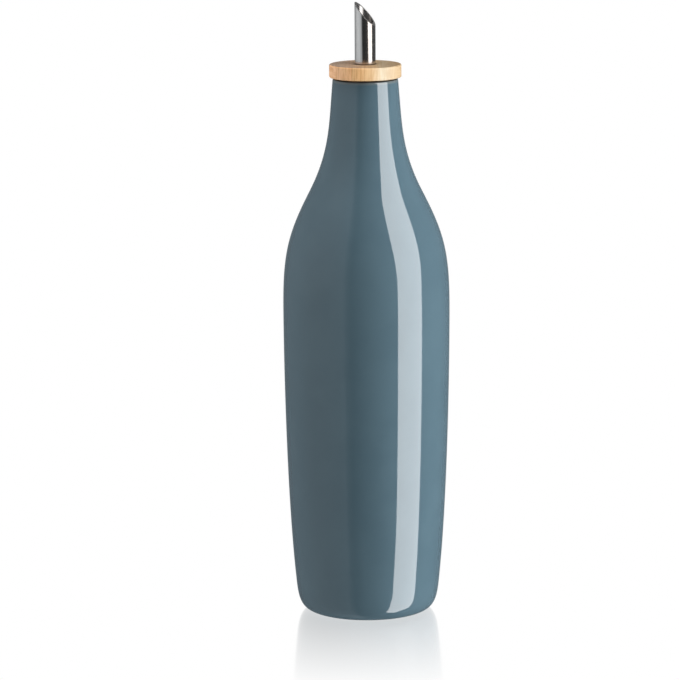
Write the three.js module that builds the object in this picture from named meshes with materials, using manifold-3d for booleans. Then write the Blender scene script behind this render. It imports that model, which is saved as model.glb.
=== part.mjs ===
// A ceramic oil dispenser: a glazed bottle, a wooden cap that plugs its mouth, and a steel pouring tube
// with a slanted tip. Millimetres, +Z up. The origin is at the middle of the foot, on the surface that
// the bottle stands on. The tube pours towards +X.
import * as THREE from "three";
import { mergeVertices } from "three/addons/utils/BufferGeometryUtils.js";
import Module from "manifold-3d";

const wasm = await Module();
wasm.setup();

// Driving dimensions of the bottle
const BELLY_RADIUS = 39;
const BELLY_HEIGHT = 145.6;
const LIP_HEIGHT = 253;
const WALL = 4.6;
const FLOOR_THICKNESS = 5;
const FOOT_INNER_RADIUS = 20.6;
const FOOT_OUTER_RADIUS = 25.1;
const FOOT_RECESS = 1.6;
const FOOT_RECESS_SLOPE = 1.2;
const MOUTH_RADIUS = 11.5;
const LIP_RADIUS = 15.3;
const LIP_OUTER_ROUND = 1.4;
const LIP_INNER_ROUND = 0.8;

// The bottle's side is four curves that meet at these places. A lean is the radius gained for each
// millimetre of height there, and a reach is how far a curve keeps to that lean before it bends.
const OUTER_SIDE = {
  floor: { radius: FOOT_OUTER_RADIUS, height: 0, reach: 7.8 },
  heel: { radius: 34.1, height: 17, lean: 0.1, reachDown: 9.3, reachUp: 37.4 },
  belly: { radius: BELLY_RADIUS, height: BELLY_HEIGHT, lean: 0, reachDown: 30.8, reachUp: 25.7 },
  shoulder: { radius: 26.3, height: 199.8, lean: -0.51, reachDown: 21.8, reachUp: 19.6 },
  neck: { radius: 15.8, height: 245.2, lean: -0.08, reachDown: 15.5 },
  steps: [7, 8, 9, 8],
};
const INNER_SIDE = {
  floor: { radius: 19, height: FOOT_RECESS + FLOOR_THICKNESS, reach: 7 },
  heel: { radius: 34.3 - WALL, height: 20, lean: 0.1, reachDown: 7, reachUp: 36 },
  belly: { radius: BELLY_RADIUS - WALL, height: BELLY_HEIGHT, lean: 0, reachDown: 30, reachUp: 24 },
  shoulder: { radius: 22.2, height: 197.6, lean: -0.51, reachDown: 20, reachUp: 17 },
  neck: { radius: MOUTH_RADIUS, height: 236, lean: 0, reachDown: 13 },
  steps: [5, 4, 7, 6],
};

// Driving dimensions of the cap
const FIT_GAP = 0.3;
const CAP_RADIUS = 16.8;
const CAP_THICKNESS = 6.1;
const CAP_ROUND = 0.8;
const PLUG_LENGTH = 15;
const PLUG_CHAMFER = 1;

// Driving dimensions of the pouring tube
const TUBE_RADIUS = 4.85;
const TUBE_WALL = 1;
const TUBE_RISE = 28.8;
const TUBE_BELOW_PLUG = 2.5;
const TIP_ANGLE_DEG = 48;

const BOTTLE_SIDES = 64;
const CAP_SIDES = 64;
const TUBE_SIDES = 48;

const CAP_BOTTOM = LIP_HEIGHT + FIT_GAP;
const CAP_TOP = CAP_BOTTOM + CAP_THICKNESS;
const PLUG_BOTTOM = CAP_BOTTOM - PLUG_LENGTH;
const TUBE_TIP = CAP_TOP + TUBE_RISE;
const TUBE_BOTTOM = PLUG_BOTTOM - TUBE_BELOW_PLUG;

const glaze = new THREE.MeshStandardMaterial({ color: 0x5d7886, roughness: 0.12, metalness: 0 });
const bamboo = new THREE.MeshStandardMaterial({ color: 0xdcb27c, roughness: 0.55, metalness: 0 });
const steel = new THREE.MeshStandardMaterial({ color: 0xc9c9c7, roughness: 0.18, metalness: 1 });

function point(radius, height) {
  return new THREE.Vector2(radius, height);
}

// A round corner with its centre at (radius, height), from one angle to another in degrees.
function corner(radius, height, round, fromDeg, toDeg, steps) {
  const points = [];
  for (let i = 0; i <= steps; i++) {
    const angle = THREE.MathUtils.degToRad(fromDeg + ((toDeg - fromDeg) * i) / steps);
    points.push(point(radius + round * Math.cos(angle), height + round * Math.sin(angle)));
  }
  return points;
}

// The place that lies a reach away from a joint of the side, up (+) or down (-) along its lean.
function handle(joint, reach) {
  const direction = point(joint.lean, 1).normalize();
  return point(joint.radius, joint.height).addScaledVector(direction, reach);
}

// The points of a side from its floor to its neck.
function sidePoints(side) {
  const joints = [side.floor, side.heel, side.belly, side.shoulder, side.neck];
  const points = [point(side.floor.radius, side.floor.height)];
  side.steps.forEach((steps, i) => {
    const [low, high] = [joints[i], joints[i + 1]];
    const leave = i === 0 ? point(low.radius + low.reach, low.height) : handle(low, low.reachUp);
    const curve = new THREE.CubicBezierCurve(
      point(low.radius, low.height),
      leave,
      handle(high, -high.reachDown),
      point(high.radius, high.height),
    );
    points.push(...curve.getPoints(steps).slice(1));
  });
  return points;
}

// A solid of revolution about Z. The profile runs from the axis or round a closed loop, outside upwards.
function turned(profile, sides) {
  const geometry = new THREE.LatheGeometry(profile, sides);
  geometry.rotateX(Math.PI / 2);
  return geometry;
}

function bottleGeometry() {
  const outerRoundHeight = LIP_HEIGHT - LIP_OUTER_ROUND;
  const innerRoundHeight = LIP_HEIGHT - LIP_INNER_ROUND;
  const profile = [
    point(0, FOOT_RECESS),
    point(FOOT_INNER_RADIUS - FOOT_RECESS_SLOPE, FOOT_RECESS),
    point(FOOT_INNER_RADIUS, 0),
    ...sidePoints(OUTER_SIDE),
    ...corner(LIP_RADIUS - LIP_OUTER_ROUND, outerRoundHeight, LIP_OUTER_ROUND, 0, 90, 4),
    ...corner(MOUTH_RADIUS + LIP_INNER_ROUND, innerRoundHeight, LIP_INNER_ROUND, 90, 180, 3),
    ...sidePoints(INNER_SIDE).reverse(),
    point(0, INNER_SIDE.floor.height),
  ];
  return turned(profile, BOTTLE_SIDES);
}

// The disc and the plug below it are one piece of wood, bored through for the tube.
function capGeometry() {
  const boreRadius = TUBE_RADIUS + FIT_GAP;
  const plugRadius = MOUTH_RADIUS - FIT_GAP;
  const edgeRadius = CAP_RADIUS - CAP_ROUND;
  const profile = [
    point(boreRadius, PLUG_BOTTOM),
    point(plugRadius - PLUG_CHAMFER, PLUG_BOTTOM),
    point(plugRadius, PLUG_BOTTOM + PLUG_CHAMFER),
    point(plugRadius, CAP_BOTTOM),
    ...corner(edgeRadius, CAP_BOTTOM + CAP_ROUND, CAP_ROUND, -90, 0, 3),
    ...corner(edgeRadius, CAP_TOP - CAP_ROUND, CAP_ROUND, 0, 90, 3),
    point(boreRadius, CAP_TOP),
    point(boreRadius, PLUG_BOTTOM),
  ];
  return turned(profile, CAP_SIDES);
}

// A closed geometry as a solid that can be cut.
function solidOf(geometry) {
  const bare = geometry.clone();
  bare.deleteAttribute("normal");
  bare.deleteAttribute("uv");
  const merged = mergeVertices(bare);
  const mesh = new wasm.Mesh({
    numProp: 3,
    vertProperties: merged.getAttribute("position").array,
    triVerts: new Uint32Array(merged.index.array),
  });
  return new wasm.Manifold(mesh);
}

// A cut solid as a geometry again.
function geometryOf(solid) {
  const mesh = solid.getMesh();
  const geometry = new THREE.BufferGeometry();
  geometry.setAttribute("position", new THREE.BufferAttribute(new Float32Array(mesh.vertProperties), 3));
  geometry.setIndex(new THREE.BufferAttribute(new Uint32Array(mesh.triVerts), 1));
  geometry.computeVertexNormals();
  return geometry;
}

// Everything above the slanted tip: a block whose lower face falls towards +X.
function tipCutter() {
  const size = 12 * TUBE_RADIUS;
  const slant = THREE.MathUtils.degToRad(TIP_ANGLE_DEG);
  const cutHeight = TUBE_TIP - TUBE_RADIUS * Math.tan(slant);
  const block = new THREE.BoxGeometry(size, size, size);
  block.translate(0, 0, size / 2);
  block.rotateY(slant);
  block.translate(0, 0, cutHeight);
  return block;
}

function tubeGeometry() {
  const innerRadius = TUBE_RADIUS - TUBE_WALL;
  const roughTop = TUBE_TIP + TUBE_RADIUS;
  const profile = [
    point(innerRadius, TUBE_BOTTOM),
    point(TUBE_RADIUS, TUBE_BOTTOM),
    point(TUBE_RADIUS, roughTop),
    point(innerRadius, roughTop),
    point(innerRadius, TUBE_BOTTOM),
  ];
  return geometryOf(solidOf(turned(profile, TUBE_SIDES)).subtract(solidOf(tipCutter())));
}

function piece(name, geometry, material) {
  const mesh = new THREE.Mesh(geometry, material);
  mesh.name = name;
  return mesh;
}

const dispenser = new THREE.Group();
dispenser.add(
  piece("bottle", bottleGeometry(), glaze),
  piece("cap", capGeometry(), bamboo),
  piece("spout", tubeGeometry(), steel),
);

export default dispenser;
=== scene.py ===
"""The looks of a ceramic oil dispenser: a glazed bottle, a bamboo cap and a steel pouring tube.

Metres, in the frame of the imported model: +Z up, origin in the middle of the foot, +X the way it pours.
Sizes of the pieces are in millimetres, as in the solid model, and MM turns them into metres.
"""

import math

import bpy
from mathutils import Matrix, Vector


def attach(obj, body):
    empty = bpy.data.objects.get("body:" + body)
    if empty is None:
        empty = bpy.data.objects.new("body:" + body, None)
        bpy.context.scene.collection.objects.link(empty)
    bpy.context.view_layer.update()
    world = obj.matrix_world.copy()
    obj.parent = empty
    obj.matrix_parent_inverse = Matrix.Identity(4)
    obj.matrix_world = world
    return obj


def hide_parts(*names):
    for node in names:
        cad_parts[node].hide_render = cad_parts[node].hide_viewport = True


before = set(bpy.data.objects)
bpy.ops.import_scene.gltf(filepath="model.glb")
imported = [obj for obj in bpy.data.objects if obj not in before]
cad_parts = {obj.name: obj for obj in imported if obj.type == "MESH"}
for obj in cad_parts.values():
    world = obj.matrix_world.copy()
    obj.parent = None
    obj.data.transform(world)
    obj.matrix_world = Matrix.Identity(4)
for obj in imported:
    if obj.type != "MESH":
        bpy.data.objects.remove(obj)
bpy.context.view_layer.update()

MM = 0.001

# The photograph: its width in pixels, and the camera that it was taken with. The camera stands on the -Y
# side, turned by CAMERA_TURN_DEG about Z towards +X.
IMAGE_WIDTH = 679
SENSOR_WIDTH_MM = 36.0
FOCAL_PIXELS = 4221.0
CAMERA_TURN_DEG = 18.3
CAMERA_DISTANCE = 1.95
CAMERA_HEIGHT = 0.494
CAMERA_PITCH_DEG = -10.6
CAMERA_YAW_DEG = -0.374
CAMERA_ROLL_DEG = -0.351
CAMERA_NEAR = 0.05
CAMERA_FAR = 50.0

# Sizes of the bottle, in millimetres
BELLY_RADIUS = 39.0
BELLY_HEIGHT = 145.6
LIP_HEIGHT = 253.0
WALL = 4.6
FLOOR_THICKNESS = 5.0
FOOT_INNER_RADIUS = 20.6
FOOT_OUTER_RADIUS = 25.1
FOOT_RECESS = 1.6
FOOT_RECESS_SLOPE = 1.2
MOUTH_RADIUS = 11.5
LIP_RADIUS = 15.3
LIP_OUTER_ROUND = 1.4
LIP_INNER_ROUND = 0.8

# Joints of the bottle's side: a lean is the radius gained for each millimetre of height, and a reach is
# how far a curve keeps to that lean before it bends.
OUTER_SIDE = {
    "floor": {"radius": FOOT_OUTER_RADIUS, "height": 0.0, "reach": 7.8},
    "heel": {"radius": 34.1, "height": 17.0, "lean": 0.1, "down": 9.3, "up": 37.4},
    "belly": {"radius": BELLY_RADIUS, "height": BELLY_HEIGHT, "lean": 0.0, "down": 30.8, "up": 25.7},
    "shoulder": {"radius": 26.3, "height": 199.8, "lean": -0.51, "down": 21.8, "up": 19.6},
    "neck": {"radius": 15.8, "height": 245.2, "lean": -0.08, "down": 15.5},
}
INNER_SIDE = {
    "floor": {"radius": 19.0, "height": FOOT_RECESS + FLOOR_THICKNESS, "reach": 7.0},
    "heel": {"radius": 34.3 - WALL, "height": 20.0, "lean": 0.1, "down": 7.0, "up": 36.0},
    "belly": {"radius": BELLY_RADIUS - WALL, "height": BELLY_HEIGHT, "lean": 0.0, "down": 30.0, "up": 24.0},
    "shoulder": {"radius": 22.2, "height": 197.6, "lean": -0.51, "down": 20.0, "up": 17.0},
    "neck": {"radius": MOUTH_RADIUS, "height": 236.0, "lean": 0.0, "down": 13.0},
}
SIDE_ORDER = ("floor", "heel", "belly", "shoulder", "neck")

# The foot ring's inner edge is softened: how far each point lies outside FOOT_INNER_RADIUS, and its height.
# Faces whose middle is lower than BARE_HEIGHT have no glaze.
FOOT_EDGE = ((-0.35, 0.3), (-0.1, 0.08), (0.25, 0.0))
BARE_HEIGHT = 0.04

# Sizes of the cap, in millimetres. Its edges are a little crisper than the solid's, which are rounded by
# 0.8, and it fits the tube more closely than SOLID_GAP, the gap between two solids.
SOLID_GAP = 0.3
CLOSE_GAP = 0.1
CAP_RADIUS = 16.8
CAP_THICKNESS = 6.1
CAP_ROUND = 0.6
PLUG_LENGTH = 15.0
PLUG_CHAMFER = 1.0
BORE_EDGE = 0.2

# Sizes of the pouring tube, in millimetres
TUBE_RADIUS = 4.85
TUBE_WALL = 1.0
TUBE_RISE = 28.8
TUBE_BELOW_PLUG = 2.5
TUBE_EDGE = 0.08
TIP_ANGLE_DEG = 48.0

CAP_BOTTOM = LIP_HEIGHT + SOLID_GAP
CAP_TOP = CAP_BOTTOM + CAP_THICKNESS
PLUG_BOTTOM = CAP_BOTTOM - PLUG_LENGTH
TUBE_TIP = CAP_TOP + TUBE_RISE
TUBE_BOTTOM = PLUG_BOTTOM - TUBE_BELOW_PLUG

# How finely the pieces are divided round the axis, along their sides and round their corners
BOTTLE_SIDES = 256
CAP_SIDES = 224
TUBE_SIDES = 144
OUTER_SIDE_STEPS = (26, 44, 34, 30)
INNER_SIDE_STEPS = (12, 16, 16, 12)
LIP_OUTER_STEPS = 12
LIP_INNER_STEPS = 8
CAP_ROUND_STEPS = 8
BORE_EDGE_STEPS = 5
TUBE_EDGE_STEPS = 4
SMOOTH_ANGLE_DEG = 50.0

# Lengths that differ by less than this, in millimetres, count as the same
SAME_LENGTH = 0.001

# Colours, linear
GLAZE_COLOUR = (0.058, 0.0965, 0.121)
GLAZE_LIGHTER = (0.065, 0.1065, 0.132)
# Greyer glaze where it thins over the lip, lighter than the body, and also a painted highlight along the
# lip's round
GLAZE_BREAK_HIGHLIGHT = (0.2, 0.195, 0.17)
# Painted shade on the top of the lip, where the cap's edge overhangs it
LIP_PAINTED_SHADE = (0.03, 0.022, 0.014)
BARE_CLAY = (0.62, 0.57, 0.49)
BAMBOO_FIBRE = (0.33, 0.17, 0.07)
BAMBOO_STREAK = (0.79, 0.66, 0.52)
# Painted shade: the cap's top face is multiplied by this, so that it looks darker than its sides
BAMBOO_TOP_SHADE = (0.71, 0.645, 0.57)
# Painted shadow: the grey that the left part of the top passes into, as the tube's shadow
BAMBOO_TUBE_SHADOW = (0.17, 0.16, 0.14)
# Painted shade: the dark brown of the cap's lower edge over the lip and of the ring round the tube
BAMBOO_PAINTED_SHADE = (0.09, 0.05, 0.025)
STEEL_COLOUR = (0.72, 0.65, 0.61)
BORE_COLOUR = (0.6, 0.57, 0.55)
RIM_COLOUR = (0.42, 0.4, 0.385)
# Painted shade: the dark colour of the tube's foot, where it meets the cap
STEEL_FOOT_SHADE = (0.1, 0.085, 0.07)
WHITE = (1.0, 1.0, 1.0, 1.0)

# In what follows a scale is about how many features of a noise lie in a metre, a share is how far one
# colour passes into another, a strength is how much of a relief shows, and lengths are in metres. Most
# values of a noise lie in these stretches, a narrower and a wider one, and CRISP is the roughness of a
# noise with crisp details.
NOISE_MIDDLE = (0.35, 0.65)
NOISE_WIDE = (0.3, 0.7)
CRISP = 0.6

# The glaze: its clouds and grain, how it thins over the lip in a band that is also a painted highlight, the
# painted shade above that, under the cap, and its surface
CLOUD_SCALE = 45.0
CLOUD_SHARE = 0.75
GRAIN_SCALE = 900.0
GRAIN_SHARE = 0.25
THIN_GLAZE_HIGHLIGHT_HEIGHTS = ((LIP_HEIGHT - 2.2) * MM, (LIP_HEIGHT - 1.0) * MM)
THIN_GLAZE_HIGHLIGHT_SHARE = 0.35
# Heights over which the top of the lip passes into painted shade, and how far
LIP_SHADE_HEIGHTS = ((LIP_HEIGHT - 0.75) * MM, (LIP_HEIGHT - 0.35) * MM)
LIP_SHADE_SHARE = 0.85
WAVE_SCALE = 28.0
WAVE_DEPTH = 0.12 * MM
WAVE_STRENGTH = 0.3
PEEL_SCALE = 700.0
PEEL_DEPTH = 0.004 * MM
PEEL_STRENGTH = 0.25
SHEEN_SCALE = 160.0
GLAZE_ROUGHNESS = (0.035, 0.06)
GLAZE_IOR = 1.6

# The bare clay, whose darker grains have its colour times a factor
SAND_SCALE = 1500.0
DARK_SAND_FACTOR = 0.72
SAND_DEPTH = 0.08 * MM
SAND_STRENGTH = 0.5
CLAY_ROUGHNESS = 0.85
CLAY_IOR = 1.5

# The wood of the cap. Its strips run straight away from the camera, and places across them are counted in
# millimetres to the right of the axis as the camera sees it. The colour passes softly from strip to strip,
# apart from one plain step at a glue line. The strips get darker to the right, partly their own colour and
# partly painted shade that offsets the bright light on that side. A glue line fades away over SEAM_WIDTH on
# each side.
STRIP_TURN_DEG = CAMERA_TURN_DEG
BAMBOO_SHADED_COLOURS = (
    (-15.4, (0.90, 0.53, 0.288)),
    (-9.2, (0.85, 0.50, 0.249)),
    (-6.2, (0.85, 0.50, 0.249)),
    (-6.0, (0.76, 0.468, 0.222)),
    (-2.6, (0.76, 0.468, 0.222)),
    (2.7, (0.60, 0.41, 0.22)),
    (8.0, (0.475, 0.405, 0.29)),
    (14.2, (0.39, 0.285, 0.166)),
)
BAMBOO_SPAN = 2.1 * CAP_RADIUS
BAMBOO_SEAMS = (-12.4, -6.1, -0.2, 5.6, 11.8)
SEAM_WIDTH = 0.1 * MM
SEAM_SHARE = 0.3

# The grain of the wood. A place is multiplied by a stretch before its noise is taken, across the strips,
# along them and upwards, so a small number draws the features out that way. The streaks at the cut ends
# are broad, narrow and fine ones and rows of pores, each with its weight. The rows sway a little, by a
# phase in radians.
END_STRETCH = (1.0, 0.03, 0.1)
FIBRE_STRETCH = (1.0, 0.012, 1.0)
LONG_STRETCH = (0.3, 0.015, 1.0)
BROAD_SCALE = 520.0
BROAD_WEIGHT = 0.2
NARROW_SCALE = 1500.0
NARROW_WEIGHT = 0.45
FINE_SCALE = 2600.0
FINE_WEIGHT = 0.35
FIBRE_SCALE = 3800.0
LONG_SCALE = 1100.0
PORE_SPACING = 0.86 * MM
PORE_SWAY = 9.0
PORE_WEIGHT = 0.045
STREAK_VALUES = (0.43, 0.59)
FIBRE_VALUES = (0.58, 0.78)
FIBRE_SHARE = 0.35

# The streaks are plain on the left and calmer on the right: from where to where, and their shares there
CALM_PLACES = (-4.0 * MM, 8.0 * MM)
CALM_SHARES = (0.8, 0.45)

# A face looks up or sideways from the first of these on, and wholly so from the second. 1 is square on.
SQUARE_ON = (0.75, 0.97)

# The top is darkened as painted shade, more on the left as the tube's painted shadow, and the wood is
# darkened with painted shade at its lower edge and round the tube
TUBE_SHADOW_PLACES = (-12.0 * MM, 8.0 * MM)
TUBE_SHADOW_SHARE = 0.68
UNDER_SHADE_HEIGHTS = ((CAP_BOTTOM - 0.05) * MM, (CAP_BOTTOM + 0.22) * MM)
BORE_SHADE_RADII = ((TUBE_RADIUS + 0.3) * MM, (TUBE_RADIUS + 0.9) * MM)
WOOD_SHADE_SHARE = 0.9
WOOD_DEPTH = 0.06 * MM
WOOD_STRENGTH = 0.35
WOOD_ROUGHNESS = (0.52, 0.64)
WOOD_IOR = 1.45

# The steel: the lines of drawing and polishing, its smudges, and the dark ring of painted shade at the
# tube's foot, where it meets the cap
LINE_STRETCH = (1.0, 1.0, 0.03)
LINE_SCALE = 2600.0
DARK_LINE_FACTOR = 0.9
LINE_DEPTH = 0.004 * MM
LINE_ROUGHNESS = 0.04
SMUDGE_SCALE = 220.0
TUBE_FOOT_SHADE_HEIGHTS = ((CAP_TOP + 0.3) * MM, (CAP_TOP + 0.5) * MM)
TUBE_FOOT_SHADE_SHARE = 0.92

# The finishes of the steel: a colour, the lowest and highest roughness, and how strongly the lines show
STEEL_FINISHES = (
    ("polished_steel", STEEL_COLOUR, (0.15, 0.17), 0.02),
    ("drawn_steel", BORE_COLOUR, (0.24, 0.28), 0.04),
    ("ground_steel", RIM_COLOUR, (0.45, 0.55), 0.1),
)

# Which of its piece's materials a face takes, where that isn't the first one
BARE_FACE = 1
BORE_FACE = 1
RIM_FACE = 2

# The floor: two sheets just below the object. The lower one mirrors, and less so farther from the object.
FLOOR_HALF_SIZE = 6.0
SHEET_DEPTH = 0.03 * MM
MIRROR_DEPTH = 0.06 * MM
MIRROR_SHARE = 0.46
MIRROR_FADE_FROM = 0.03
MIRROR_FADE_TO = 0.15
MIRROR_ROUGHNESS = 0.09

# The studio. Directions are given as seen from the object: azimuth 0 is towards the camera, and positive
# azimuths are to the camera's right.

# The room round the object: an azimuth, how bright the room is there in reflections, and how bright it is
# as a light on matt surfaces
ROOM = (
    (-180, 0.20, 0.15),
    (-150, 0.22, 0.15),
    (-115, 0.52, 0.15),
    (-92, 0.67, 5.4),
    (-72, 0.78, 0.3),
    (-55, 0.75, 0.03),
    (-43, 0.66, 0.03),
    (-32, 0.58, 0.03),
    (-28, 0.29, 0.03),
    (-20, 0.03, 0.03),
    (80, 0.05, 0.05),
    (100, 0.05, 2.5),
    (140, 0.08, 0.45),
    (180, 0.20, 0.15),
)
ROOM_TINT = (0.84, 0.96, 1.04)

# Below the table the room's light is multiplied by these factors, in reflections and on matt surfaces. On
# matt surfaces it is multiplied by another one towards the ceiling. The rises say where each change starts
# and is complete, as sines of elevations.
BELOW_RISES = (-0.37, 0.05)
REFLECTED_BELOW = 0.80
MATT_BELOW = 1.15
CEILING_RISES = (0.25, 0.4)
MATT_CEILING = 0.05

# A broad matt light from above, in front of the object: where it comes from, and how far round that
# place it is full and gone
TOP_LIGHT = 9.1
TOP_LIGHT_AZIMUTH_DEG = -10.0
TOP_LIGHT_ELEVATION_DEG = 77.0
TOP_LIGHT_FULL_DEG = 6.0
TOP_LIGHT_GONE_DEG = 24.0

# The softbox, whose outline is the one that its reflection in the glaze shows: metres to the right of its
# middle line as the object sees it, and height. It is two panels in almost the same place, at distances in
# metres from the axis. The one that lights the tube is dimmer, because its reflection in the steel would
# be burnt out otherwise. It stands a little nearer and is see-through, so that the bottle and the cap
# still see the other one.
SOFTBOX_OUTLINE = (
    (-0.48, 1.3),
    (-0.43, 0.65),
    (-0.36, 0.15),
    (-0.345, -0.3),
    (-0.438, -0.62),
    (-0.42, -1.43),
    (-0.03, -1.4),
    (0.15, -1.04),
    (0.36, -0.82),
    (0.38, -0.5),
    (0.327, 0.05),
    (0.43, 0.75),
    (0.48, 1.3),
)
SOFTBOX_AZIMUTH_DEG = 63.0
KEY_DISTANCE = 1.0
KEY_RADIANCE = 6.4
TUBE_PANEL_DISTANCE = 0.995
TUBE_PANEL_RADIANCE = 2.3

# How bright the softbox is when seen by way of two mirrors, such as the floor and then the glaze
SECOND_MIRROR_SHARE = 0.3


# Shapes


def bezier(start, leave, arrive, end, steps):
    """Points after start, up to end, on a curve that leaves towards one place and arrives from another."""
    points = []
    for i in range(1, steps + 1):
        t = i / steps
        s = 1 - t
        points.append(s**3 * start + 3 * s * s * t * leave + 3 * s * t * t * arrive + t**3 * end)
    return points


def side_handle(joint, reach):
    """The place that lies a reach away from a joint along its lean, up (+) or down (-)."""
    lean = Vector((joint["lean"], 1.0)).normalized()
    return Vector((joint["radius"], joint["height"])) + reach * lean


def side_points(side, steps):
    """The points of a side of the bottle, from its floor to its neck."""
    joints = [side[name] for name in SIDE_ORDER]
    points = [Vector((joints[0]["radius"], joints[0]["height"]))]
    for low, high, count in zip(joints, joints[1:], steps):
        start = points[-1]
        end = Vector((high["radius"], high["height"]))
        leave = start + Vector((low["reach"], 0)) if "reach" in low else side_handle(low, low["up"])
        points += bezier(start, leave, side_handle(high, -high["down"]), end, count)
    return points


def corner(radius, height, round_radius, from_deg, to_deg, steps):
    """A round corner about (radius, height), from one angle to another."""
    points = []
    for i in range(steps + 1):
        angle = math.radians(from_deg + (to_deg - from_deg) * i / steps)
        offset = Vector((math.cos(angle), math.sin(angle))) * round_radius
        points.append(Vector((radius, height)) + offset)
    return points


def add_object(name, data):
    thing = bpy.data.objects.new(name, data)
    bpy.context.scene.collection.objects.link(thing)
    return thing


def add_mesh(name, verts, faces):
    mesh = bpy.data.meshes.new(name)
    mesh.from_pydata(verts, [], faces)
    return add_object(name, mesh)


def turned(name, profile, sides, closed=False, lift=None):
    """A solid of revolution about Z. The profile is in millimetres, outside upwards; it starts and ends on
    the axis, or is closed on itself. lift(x, y, index) raises a point of ring index."""
    verts = []
    rings = []
    for index, (radius, height) in enumerate(profile):
        on_axis = radius < SAME_LENGTH
        ring = []
        for k in range(1 if on_axis else sides):
            angle = 2 * math.pi * k / sides
            x, y = radius * math.cos(angle), radius * math.sin(angle)
            z = height + (lift(x, y, index) if lift else 0.0)
            ring.append(len(verts))
            verts.append((x * MM, y * MM, z * MM))
        rings.append(ring)
    pairs = list(zip(rings, rings[1:]))
    if closed:
        pairs.append((rings[-1], rings[0]))
    faces = []
    for low, high in pairs:
        for k in range(sides):
            following = (k + 1) % sides
            corners = [low[k % len(low)], low[following % len(low)]]
            corners += [high[following % len(high)], high[k % len(high)]]
            faces.append(list(dict.fromkeys(corners)))
    piece = add_mesh(name, verts, faces)
    piece.data.validate()
    piece.data.update()
    for polygon in piece.data.polygons:
        polygon.use_smooth = True
    piece.data.set_sharp_from_angle(angle=math.radians(SMOOTH_ANGLE_DEG))
    return piece


def make_bottle():
    """The bottle as one closed mesh: the panel under it, the foot ring, the side, the lip and the inside."""
    panel = FOOT_INNER_RADIUS - FOOT_RECESS_SLOPE
    outer_round = (LIP_RADIUS - LIP_OUTER_ROUND, LIP_HEIGHT - LIP_OUTER_ROUND, LIP_OUTER_ROUND)
    inner_round = (MOUTH_RADIUS + LIP_INNER_ROUND, LIP_HEIGHT - LIP_INNER_ROUND, LIP_INNER_ROUND)
    profile = [Vector((radius, FOOT_RECESS)) for radius in (0, panel / 2, panel)]
    profile += [Vector((FOOT_INNER_RADIUS + out, height)) for out, height in FOOT_EDGE]
    profile += side_points(OUTER_SIDE, OUTER_SIDE_STEPS)
    profile += corner(*outer_round, 0, 90, LIP_OUTER_STEPS)
    profile += corner(*inner_round, 90, 180, LIP_INNER_STEPS)
    profile += side_points(INNER_SIDE, INNER_SIDE_STEPS)[::-1]
    profile.append(Vector((0, INNER_SIDE["floor"]["height"])))
    return turned("glazed_bottle", profile, BOTTLE_SIDES)


def make_cap():
    """The disc and its plug, one piece of bamboo with a bore for the tube."""
    bore = TUBE_RADIUS + CLOSE_GAP
    plug = MOUTH_RADIUS - SOLID_GAP
    rim = CAP_RADIUS - CAP_ROUND
    profile = [
        Vector((bore, PLUG_BOTTOM)),
        Vector((plug - PLUG_CHAMFER, PLUG_BOTTOM)),
        Vector((plug, PLUG_BOTTOM + PLUG_CHAMFER)),
        Vector((plug, CAP_BOTTOM)),
    ]
    profile += corner(rim, CAP_BOTTOM + CAP_ROUND, CAP_ROUND, -90, 0, CAP_ROUND_STEPS)
    profile += corner(rim, CAP_TOP - CAP_ROUND, CAP_ROUND, 0, 90, CAP_ROUND_STEPS)
    profile += corner(bore + BORE_EDGE, CAP_TOP - BORE_EDGE, BORE_EDGE, 90, 180, BORE_EDGE_STEPS)
    return turned("bamboo_cap", profile, CAP_SIDES, closed=True)


def make_spout():
    """The steel tube, cut on a slant that falls towards +X, with softened edges."""
    inner_middle = TUBE_RADIUS - TUBE_WALL + TUBE_EDGE
    outer_middle = TUBE_RADIUS - TUBE_EDGE
    slope = math.tan(math.radians(TIP_ANGLE_DEG))
    cut_middle = TUBE_TIP - TUBE_RADIUS * slope
    profile = corner(inner_middle, TUBE_BOTTOM + TUBE_EDGE, TUBE_EDGE, 180, 270, TUBE_EDGE_STEPS)
    profile += corner(outer_middle, TUBE_BOTTOM + TUBE_EDGE, TUBE_EDGE, 270, 360, TUBE_EDGE_STEPS)
    first_slanted = len(profile)
    profile += corner(outer_middle, cut_middle - TUBE_EDGE, TUBE_EDGE, 0, 90, TUBE_EDGE_STEPS)
    profile += corner(inner_middle, cut_middle - TUBE_EDGE, TUBE_EDGE, 90, 180, TUBE_EDGE_STEPS)

    def slant(x, y, index):
        return -slope * x if index >= first_slanted else 0.0

    return turned("steel_spout", profile, TUBE_SIDES, closed=True, lift=slant)


# Materials


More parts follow.
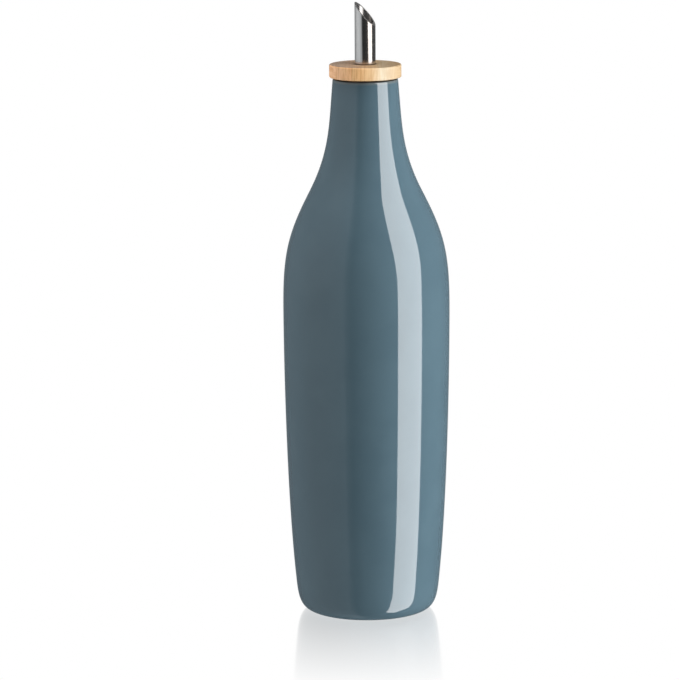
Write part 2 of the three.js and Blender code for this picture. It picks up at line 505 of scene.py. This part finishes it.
class Nodes:
    """Adds nodes to a material or world and links them."""

    def __init__(self, owner):
        owner.use_nodes = True
        self.tree = owner.node_tree
        self.tree.nodes.clear()

    def add(self, kind, inputs=None, **settings):
        """A new node. inputs holds values, or sockets to link, by the name or number of its own sockets."""
        node = self.tree.nodes.new(kind)
        for name, value in settings.items():
            setattr(node, name, value)
        for key, value in (inputs or {}).items():
            socket = node.inputs[key]
            if isinstance(value, bpy.types.NodeSocket):
                self.tree.links.new(value, socket)
            else:
                socket.default_value = value
        return node

    def calc(self, operation, *values, clamp=False):
        inputs = dict(enumerate(values))
        return self.add("ShaderNodeMath", inputs, operation=operation, use_clamp=clamp).outputs[0]

    def at_least(self, count, number):
        """1 where a count has reached a whole number, and otherwise 0."""
        return self.calc("GREATER_THAN", count, number - 0.5)

    def weighted(self, *parts):
        """The sum of some values, each times its weight."""
        total = 0.0
        for value, weight in reversed(parts):
            total = self.calc("MULTIPLY_ADD", value, weight, total)
        return total

    def vector(self, operation, *values):
        """A vector operation, as its node."""
        return self.add("ShaderNodeVectorMath", dict(enumerate(values)), operation=operation)

    def split(self, vector):
        """The X, Y and Z of a vector."""
        return self.add("ShaderNodeSeparateXYZ", {0: vector}).outputs

    def turn(self, vector, turn_deg):
        """A vector turned about Z."""
        inputs = {"Vector": vector, "Angle": math.radians(turn_deg)}
        return self.add("ShaderNodeVectorRotate", inputs, rotation_type="Z_AXIS").outputs[0]

    def place(self, turn_deg=0.0, stretch=(1.0, 1.0, 1.0)):
        """The place on the piece in metres, turned about Z and then multiplied by stretch."""
        here = self.add("ShaderNodeTexCoord").outputs["Object"]
        return self.vector("MULTIPLY", self.turn(here, turn_deg), stretch).outputs[0]

    def mix(self, share, a, b):
        """Colour a, passing into colour b. The node's colours are its sockets 6, 7 and 2."""
        node = self.add("ShaderNodeMix", {0: share, 6: a, 7: b}, data_type="RGBA")
        return node.outputs[2]

    def ramp(self, value, low, high, to_low=0.0, to_high=1.0):
        """value between low and high, smoothly, as a number between to_low and to_high."""
        inputs = {"Value": value, "From Min": low, "From Max": high, "To Min": to_low, "To Max": to_high}
        return self.add("ShaderNodeMapRange", inputs, interpolation_type="SMOOTHSTEP").outputs[0]

    def colours(self, value, stops):
        """A colour ramp, as its node. stops holds rising places from 0 to 1, each with its colour."""
        node = self.add("ShaderNodeValToRGB", {0: value})
        elements = node.color_ramp.elements
        while len(elements) < len(stops):
            elements.new(0.5)
        for element, (place, colour) in zip(elements, stops):
            element.position = place
            element.color = colour
        return node

    def noise(self, vector, scale, detail=2.0, roughness=0.5):
        inputs = {"Vector": vector, "Scale": scale, "Detail": detail, "Roughness": roughness}
        return self.add("ShaderNodeTexNoise", inputs).outputs["Fac"]

    def bump(self, height, distance, strength, normal=None):
        inputs = {"Height": height, "Distance": distance, "Strength": strength}
        if normal:
            inputs["Normal"] = normal
        return self.add("ShaderNodeBump", inputs).outputs[0]

    def glow(self, strength):
        return self.add("ShaderNodeEmission", {"Color": WHITE, "Strength": strength}).outputs[0]

    def background(self, colour):
        return self.add("ShaderNodeBackground", {"Color": colour, "Strength": 1.0}).outputs[0]

    def surface(self, **inputs):
        """The material's principled shader. The names of its inputs have _ for a space."""
        shader = self.add("ShaderNodeBsdfPrincipled", {k.replace("_", " "): v for k, v in inputs.items()})
        self.add("ShaderNodeOutputMaterial", {"Surface": shader.outputs[0]})


def rgba(colour):
    return (*colour, 1.0)


def darker(colour, factor):
    return tuple(factor * c for c in colour)


def glaze_material():
    """Glossy slate-teal glaze with faint clouds and grain, slow waves and orange peel. Over the lip it is
    thinner and greyer, a lighter band that is also a painted highlight, and at the very top, where the cap
    sits, it is darkened as painted shade."""
    material = bpy.data.materials.new("slate_glaze")
    n = Nodes(material)
    here = n.place()
    height = n.split(here)[2]
    clouds = n.ramp(n.noise(here, CLOUD_SCALE, detail=3.0), *NOISE_MIDDLE, 0.0, CLOUD_SHARE)
    grain = n.calc("MULTIPLY", n.noise(here, GRAIN_SCALE), GRAIN_SHARE)
    tone = n.calc("ADD", clouds, grain, clamp=True)
    body = n.mix(tone, rgba(GLAZE_COLOUR), rgba(GLAZE_LIGHTER))
    # The lip's thinner, greyer glaze, which also paints the highlight along the lip's round
    thin_glaze_highlight = n.ramp(height, *THIN_GLAZE_HIGHLIGHT_HEIGHTS, 0.0, THIN_GLAZE_HIGHLIGHT_SHARE)
    broken_and_highlit = n.mix(thin_glaze_highlight, body, rgba(GLAZE_BREAK_HIGHLIGHT))
    # Painted shade: the top of the lip goes dark where the cap overhangs it
    lip_shade = n.ramp(height, *LIP_SHADE_HEIGHTS, 0.0, LIP_SHADE_SHARE)
    colour = n.mix(lip_shade, broken_and_highlit, rgba(LIP_PAINTED_SHADE))
    waves = n.bump(n.noise(here, WAVE_SCALE, detail=1.0), WAVE_DEPTH, WAVE_STRENGTH)
    peel = n.bump(n.noise(here, PEEL_SCALE), PEEL_DEPTH, PEEL_STRENGTH, normal=waves)
    rough = n.ramp(n.noise(here, SHEEN_SCALE, detail=3.0), *NOISE_WIDE, *GLAZE_ROUGHNESS)
    n.surface(Base_Color=colour, Roughness=rough, Normal=peel, IOR=GLAZE_IOR)
    return material


def clay_material():
    """Bare fired clay of the foot ring, a little sandy."""
    material = bpy.data.materials.new("bare_clay")
    n = Nodes(material)
    sand = n.noise(n.place(), SAND_SCALE, detail=4.0, roughness=CRISP)
    colour = n.mix(n.ramp(sand, *NOISE_MIDDLE), rgba(darker(BARE_CLAY, DARK_SAND_FACTOR)), rgba(BARE_CLAY))
    grit = n.bump(sand, SAND_DEPTH, SAND_STRENGTH)
    n.surface(Base_Color=colour, Roughness=CLAY_ROUGHNESS, Normal=grit, IOR=CLAY_IOR)
    return material


def bamboo_strips(n, across):
    """The colours of the strips, darker to the right partly as painted shade, and a share that is 1 in the
    middle of each glue line between two.
    """
    span = BAMBOO_SPAN * MM
    stops = [(place * MM / span + 0.5, rgba(colour)) for place, colour in BAMBOO_SHADED_COLOURS]
    strips = n.colours(n.calc("MULTIPLY_ADD", across, 1 / span, 0.5), stops)
    seam = 0.0
    for place in BAMBOO_SEAMS:
        off = n.calc("ABSOLUTE", n.calc("SUBTRACT", across, place * MM))
        seam = n.calc("MAXIMUM", seam, n.ramp(off, 0.0, SEAM_WIDTH, 1.0, 0.0))
    return strips.outputs[0], seam


def bamboo_streaks(n, across, sideways, fine):
    """How far a streak shows: upright ones with rows of pores at the cut ends, and long ones on the sides
    that run along the strips."""
    end_place = n.place(-STRIP_TURN_DEG, END_STRETCH)
    broad = n.noise(end_place, BROAD_SCALE)
    narrow = n.noise(end_place, NARROW_SCALE, detail=1.0)
    sway = n.calc("MULTIPLY", broad, PORE_SWAY)
    pores = n.calc("SINE", n.calc("MULTIPLY_ADD", across, 2 * math.pi / PORE_SPACING, sway))
    end_grain = n.weighted(
        (pores, PORE_WEIGHT),
        (broad, BROAD_WEIGHT),
        (narrow, NARROW_WEIGHT),
        (fine, FINE_WEIGHT),
    )
    long_grain = n.noise(n.place(-STRIP_TURN_DEG, LONG_STRETCH), LONG_SCALE, roughness=CRISP)
    along = n.ramp(n.calc("ABSOLUTE", sideways), *SQUARE_ON)
    grain = n.calc("MULTIPLY_ADD", along, n.calc("SUBTRACT", long_grain, end_grain), end_grain)
    calm = n.ramp(across, *CALM_PLACES, *CALM_SHARES)
    return n.calc("MULTIPLY", n.ramp(grain, *STREAK_VALUES), calm)


def bamboo_painted_shade(n, colour, across, upwards):
    """The wood's colour with painted shade: a darker top that greys on the left as the tube's shadow, and
    dark at its lower edge and round the tube.
    """
    x, y, height = n.split(n.place())
    flat_place = n.add("ShaderNodeCombineXYZ", {0: x, 1: y}).outputs[0]
    from_axis = n.vector("LENGTH", flat_place).outputs["Value"]
    top = n.ramp(upwards, *SQUARE_ON)
    on_left = n.ramp(across, *TUBE_SHADOW_PLACES, 1.0, 0.0)
    # Painted shadow of the tube on the left part of the top
    tube_shadow = n.calc("MULTIPLY", n.calc("MULTIPLY", top, on_left), TUBE_SHADOW_SHARE)
    # Painted shade: the faces that look up are darkened
    top_shaded = n.mix(top, colour, n.vector("MULTIPLY", colour, BAMBOO_TOP_SHADE).outputs[0])
    shadowed_top = n.mix(tube_shadow, top_shaded, rgba(BAMBOO_TUBE_SHADOW))
    # Painted shade in the gap over the lip and round the foot of the tube
    under = n.ramp(height, *UNDER_SHADE_HEIGHTS, WOOD_SHADE_SHARE, 0.0)
    tube_contact_shade = n.ramp(from_axis, *BORE_SHADE_RADII, WOOD_SHADE_SHARE, 0.0)
    return n.mix(n.calc("MAXIMUM", under, tube_contact_shade), shadowed_top, rgba(BAMBOO_PAINTED_SHADE))


def bamboo_material():
    """Strips of bamboo glued side by side, seen end on from the front: upright streaks in each strip, a
    fine dark glue line between two, and long fibres along the strips on top and at the sides."""
    material = bpy.data.materials.new("bamboo_strips")
    n = Nodes(material)
    across = n.split(n.place(-STRIP_TURN_DEG))[0]
    facing = n.split(n.turn(n.add("ShaderNodeTexCoord").outputs["Normal"], -STRIP_TURN_DEG))
    fine = n.noise(n.place(-STRIP_TURN_DEG, END_STRETCH), FINE_SCALE, roughness=CRISP)
    fibres = n.noise(n.place(-STRIP_TURN_DEG, FIBRE_STRETCH), FIBRE_SCALE, roughness=CRISP)

    strip, seam = bamboo_strips(n, across)
    streak = n.vector("MULTIPLY", strip, BAMBOO_STREAK).outputs[0]
    streaked = n.mix(bamboo_streaks(n, across, facing[0], fine), strip, streak)
    fibre_share = n.calc("MULTIPLY", n.ramp(fibres, *FIBRE_VALUES), FIBRE_SHARE)
    fibred = n.mix(fibre_share, streaked, rgba(BAMBOO_FIBRE))
    seamed = n.mix(n.calc("MULTIPLY", seam, SEAM_SHARE), fibred, rgba(BAMBOO_FIBRE))
    colour = bamboo_painted_shade(n, seamed, across, facing[2])

    relief = n.weighted((fine, 0.5), (fibres, 0.5))
    normal = n.bump(relief, WOOD_DEPTH, WOOD_STRENGTH)
    rough = n.ramp(fine, *NOISE_WIDE, *WOOD_ROUGHNESS)
    n.surface(Base_Color=colour, Roughness=rough, Normal=normal, IOR=WOOD_IOR)
    return material


def steel_material(name, colour, roughness, relief):
    """Steel with the faint lengthwise lines that drawing and polishing leave, and a narrow dark ring of
    painted shade where the tube meets the cap."""
    material = bpy.data.materials.new(name)
    n = Nodes(material)
    lines = n.noise(n.place(stretch=LINE_STRETCH), LINE_SCALE, roughness=CRISP)
    smudge = n.noise(n.place(), SMUDGE_SCALE, detail=3.0)
    rough = n.calc("MULTIPLY_ADD", lines, LINE_ROUGHNESS, n.ramp(smudge, *NOISE_WIDE, *roughness))
    tone = n.mix(n.ramp(lines, *NOISE_WIDE), rgba(colour), rgba(darker(colour, DARK_LINE_FACTOR)))
    height = n.split(n.place())[2]
    # Painted shade at the foot of the tube
    ring = n.ramp(height, *TUBE_FOOT_SHADE_HEIGHTS, TUBE_FOOT_SHADE_SHARE, 0.0)
    foot_shaded = n.mix(ring, tone, rgba(STEEL_FOOT_SHADE))
    normal = n.bump(lines, LINE_DEPTH, relief)
    n.surface(Base_Color=foot_shaded, Metallic=1.0, Roughness=rough, Normal=normal)
    return material


def paint_bottle(piece):
    """Glaze everywhere but under the foot ring, which is wiped bare so that it doesn't stick in the kiln."""
    piece.data.materials.append(glaze_material())
    piece.data.materials.append(clay_material())
    for polygon in piece.data.polygons:
        if polygon.center.z < BARE_HEIGHT * MM:
            polygon.material_index = BARE_FACE


def paint_spout(piece):
    """Polished outside, drawn and duller in the bore, and ground on the cut rims. The half of a softened
    edge that turns to the bore counts as bore."""
    for finish in STEEL_FINISHES:
        piece.data.materials.append(steel_material(*finish))
    bore = (TUBE_RADIUS - TUBE_WALL + TUBE_EDGE / 3) * MM
    outside = (TUBE_RADIUS - SAME_LENGTH) * MM
    for polygon in piece.data.polygons:
        radii = [piece.data.vertices[i].co.xy.length for i in polygon.vertices]
        if max(radii) < bore:
            polygon.material_index = BORE_FACE
        elif min(radii) < outside:
            polygon.material_index = RIM_FACE


# The pieces

bottle = make_bottle()
paint_bottle(bottle)
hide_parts("bottle")

cap = make_cap()
cap.data.materials.append(bamboo_material())
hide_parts("cap")

spout = make_spout()
paint_spout(spout)
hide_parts("spout")

for piece in (bottle, cap, spout):
    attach(piece, "root")


# The studio


def stage_plane(name, depth, material):
    """A sheet of the floor, which only the camera sees, and which throws no shadow."""
    s = FLOOR_HALF_SIZE
    corners = [(-s, -s, -depth), (s, -s, -depth), (s, s, -depth), (-s, s, -depth)]
    plane = add_mesh(name, corners, [(0, 1, 2, 3)])
    plane.data.materials.append(material)
    plane.visible_glossy = False
    plane.visible_diffuse = False
    plane.visible_shadow = False


def make_floor():
    """White acrylic that mirrors faintly close to the object. A clear sheet lies over it, so that the world
    can tell which rays come by way of the floor."""
    clear = bpy.data.materials.new("clear_sheet")
    n = Nodes(clear)
    n.add("ShaderNodeOutputMaterial", {"Surface": n.add("ShaderNodeBsdfTransparent").outputs[0]})

    white = bpy.data.materials.new("white_floor")
    n = Nodes(white)
    away = n.vector("LENGTH", n.place()).outputs["Value"]
    inputs = {"Value": away, "From Min": MIRROR_FADE_FROM, "From Max": MIRROR_FADE_TO}
    inputs.update({"To Min": MIRROR_SHARE, "To Max": 0.0})
    share = n.add("ShaderNodeMapRange", inputs).outputs[0]
    mirror = n.add("ShaderNodeBsdfGlossy", {"Color": WHITE, "Roughness": MIRROR_ROUGHNESS}).outputs[0]
    mixed = n.add("ShaderNodeMixShader", {0: share, 1: n.glow(1.0), 2: mirror}).outputs[0]
    n.add("ShaderNodeOutputMaterial", {"Surface": mixed})

    stage_plane("floor_sheet", SHEET_DEPTH, clear)
    stage_plane("floor", MIRROR_DEPTH, white)


def toward(azimuth_deg):
    """The level direction from the object that has this azimuth."""
    angle = math.radians(azimuth_deg + CAMERA_TURN_DEG)
    return Vector((math.sin(angle), -math.cos(angle), 0))


def make_world():
    """White for the camera and for all that is seen by way of the floor. The object itself stands in a dim
    room with a large pale wall on its left, and other light falls on what is matt."""
    world = bpy.data.worlds.new("studio")
    bpy.context.scene.world = world
    n = Nodes(world)
    ray = n.add("ShaderNodeTexCoord").outputs["Generated"]
    right, back, rise = n.split(n.turn(ray, -CAMERA_TURN_DEG))
    azimuth = n.calc("ARCTAN2", right, n.calc("MULTIPLY", back, -1.0))
    stops = []
    for azimuth_deg, reflected, matt in ROOM:
        tinted = (reflected * tint for tint in ROOM_TINT)
        stops.append((azimuth_deg / 360 + 0.5, (*tinted, matt)))
    room = n.colours(n.calc("MULTIPLY_ADD", azimuth, 1 / (2 * math.pi), 0.5), stops).outputs

    reflected_change = n.ramp(rise, *BELOW_RISES, REFLECTED_BELOW, 1.0)
    scaled = {0: room["Color"], "Scale": reflected_change}
    reflected_light = n.add("ShaderNodeVectorMath", scaled, operation="SCALE").outputs[0]

    elevation = math.radians(TOP_LIGHT_ELEVATION_DEG)
    source = toward(TOP_LIGHT_AZIMUTH_DEG) * math.cos(elevation) + Vector((0, 0, math.sin(elevation)))
    nearness = n.vector("DOT_PRODUCT", ray, source).outputs["Value"]
    gone, full = (math.cos(math.radians(v)) for v in (TOP_LIGHT_GONE_DEG, TOP_LIGHT_FULL_DEG))
    from_above = n.ramp(nearness, gone, full, 0.0, TOP_LIGHT)
    above_change = n.ramp(rise, *CEILING_RISES, 1.0, MATT_CEILING)
    below_change = n.ramp(rise, *BELOW_RISES, MATT_BELOW, 1.0)
    change = n.calc("MULTIPLY", above_change, below_change)
    level = n.calc("ADD", n.calc("MULTIPLY", room["Alpha"], change), from_above)
    matt_light = n.add("ShaderNodeCombineColor", {i: level for i in range(3)}).outputs[0]

    path = n.add("ShaderNodeLightPath").outputs
    lit = n.background(n.mix(path["Is Glossy Ray"], matt_light, reflected_light))
    past_sheet = n.at_least(path["Transparent Depth"], 1)
    white_share = n.calc("MAXIMUM", path["Is Camera Ray"], past_sheet)
    seen = n.add("ShaderNodeMixShader", {0: white_share, 1: lit, 2: n.background(WHITE)}).outputs[0]
    n.add("ShaderNodeOutputWorld", {"Surface": seen})


def softbox_material(name, radiance, see_through):
    """A white glow of that radiance, which adds to what lies behind it where it is see-through."""
    material = bpy.data.materials.new(name)
    n = Nodes(material)
    second = n.at_least(n.add("ShaderNodeLightPath").outputs["Glossy Depth"], 2)
    strength = n.calc("MULTIPLY_ADD", second, radiance * (SECOND_MIRROR_SHARE - 1), radiance)
    shader = n.glow(strength)
    if see_through:
        clear = n.add("ShaderNodeBsdfTransparent").outputs[0]
        shader = n.add("ShaderNodeAddShader", {0: shader, 1: clear}).outputs[0]
    n.add("ShaderNodeOutputMaterial", {"Surface": shader})
    return material


def softbox(name, distance, radiance, lit, see_through=False):
    """A glowing panel that stands upright and faces the object's axis, and lights only the given pieces."""
    out = toward(SOFTBOX_AZIMUTH_DEG)
    right = Vector((0, 0, 1)).cross(out)
    verts = [out * distance + right * across + Vector((0, 0, height)) for across, height in SOFTBOX_OUTLINE]
    panel = add_mesh(name, verts, [range(len(verts))])
    panel.data.materials.append(softbox_material(name, radiance, see_through))
    panel.visible_camera = False
    panel.visible_shadow = False
    receivers = bpy.data.collections.new(name + "_lights")
    for piece in lit:
        receivers.objects.link(piece)
    panel.light_linking.receiver_collection = receivers


def make_camera():
    pitch, yaw, roll = (math.radians(v) for v in (CAMERA_PITCH_DEG, CAMERA_YAW_DEG, CAMERA_ROLL_DEG))
    ahead = Vector((math.sin(yaw) * math.cos(pitch), math.cos(yaw) * math.cos(pitch), math.sin(pitch)))
    level_right = ahead.cross(Vector((0, 0, 1))).normalized()
    level_up = level_right.cross(ahead)
    right = math.cos(roll) * level_right + math.sin(roll) * level_up
    up = math.cos(roll) * level_up - math.sin(roll) * level_right
    matrix = Matrix((right, up, -ahead)).transposed().to_4x4()
    matrix.translation = Vector((0, -CAMERA_DISTANCE, CAMERA_HEIGHT))
    data = bpy.data.cameras.new("camera")
    data.sensor_fit = "HORIZONTAL"
    data.sensor_width = SENSOR_WIDTH_MM
    data.lens = FOCAL_PIXELS / IMAGE_WIDTH * SENSOR_WIDTH_MM
    data.clip_start = CAMERA_NEAR
    data.clip_end = CAMERA_FAR
    camera = add_object("camera", data)
    camera.matrix_world = Matrix.Rotation(math.radians(CAMERA_TURN_DEG), 4, "Z") @ matrix
    bpy.context.scene.camera = camera


make_floor()
make_world()
softbox("key_softbox", KEY_DISTANCE, KEY_RADIANCE, (bottle, cap))
softbox("tube_softbox", TUBE_PANEL_DISTANCE, TUBE_PANEL_RADIANCE, (spout,), see_through=True)
make_camera()
bpy.context.scene.view_settings.view_transform = "Standard"
bpy.context.scene.view_settings.look = "None"
